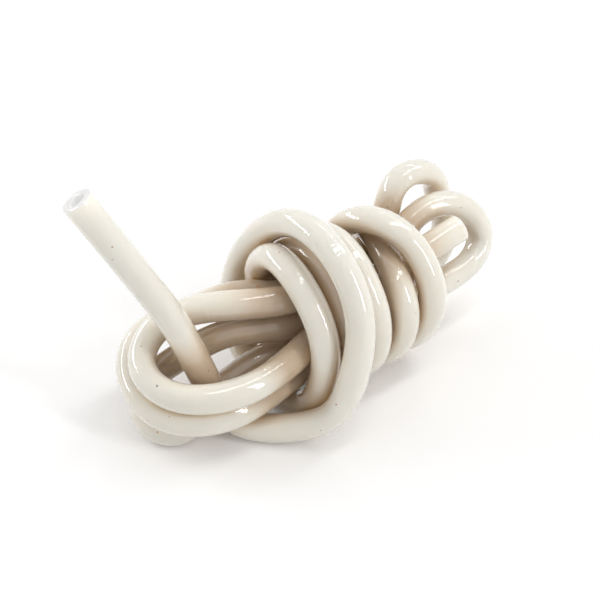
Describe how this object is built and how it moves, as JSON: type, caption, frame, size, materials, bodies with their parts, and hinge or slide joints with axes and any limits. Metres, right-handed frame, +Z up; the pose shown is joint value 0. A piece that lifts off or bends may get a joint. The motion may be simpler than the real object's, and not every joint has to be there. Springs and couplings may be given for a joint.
{
  "type": "silicone tubing coil",
  "caption": "Translucent silicone tube folded into a long hank and wrapped tightly round its middle, with one cut end standing free.",
  "frame": {"origin": "under the middle of the hank's bounding box, on the surface that it lies on", "axes": "+X along the hank, away from the end that stands free; +Z up"},
  "size_m": [0.1406, 0.0658, 0.0862],
  "materials": {
    "silicone": "milky translucent, smooth and glossy"
  },
  "bodies": {
    "root": {"tube": "silicone"}
  },
  "joints": []
}
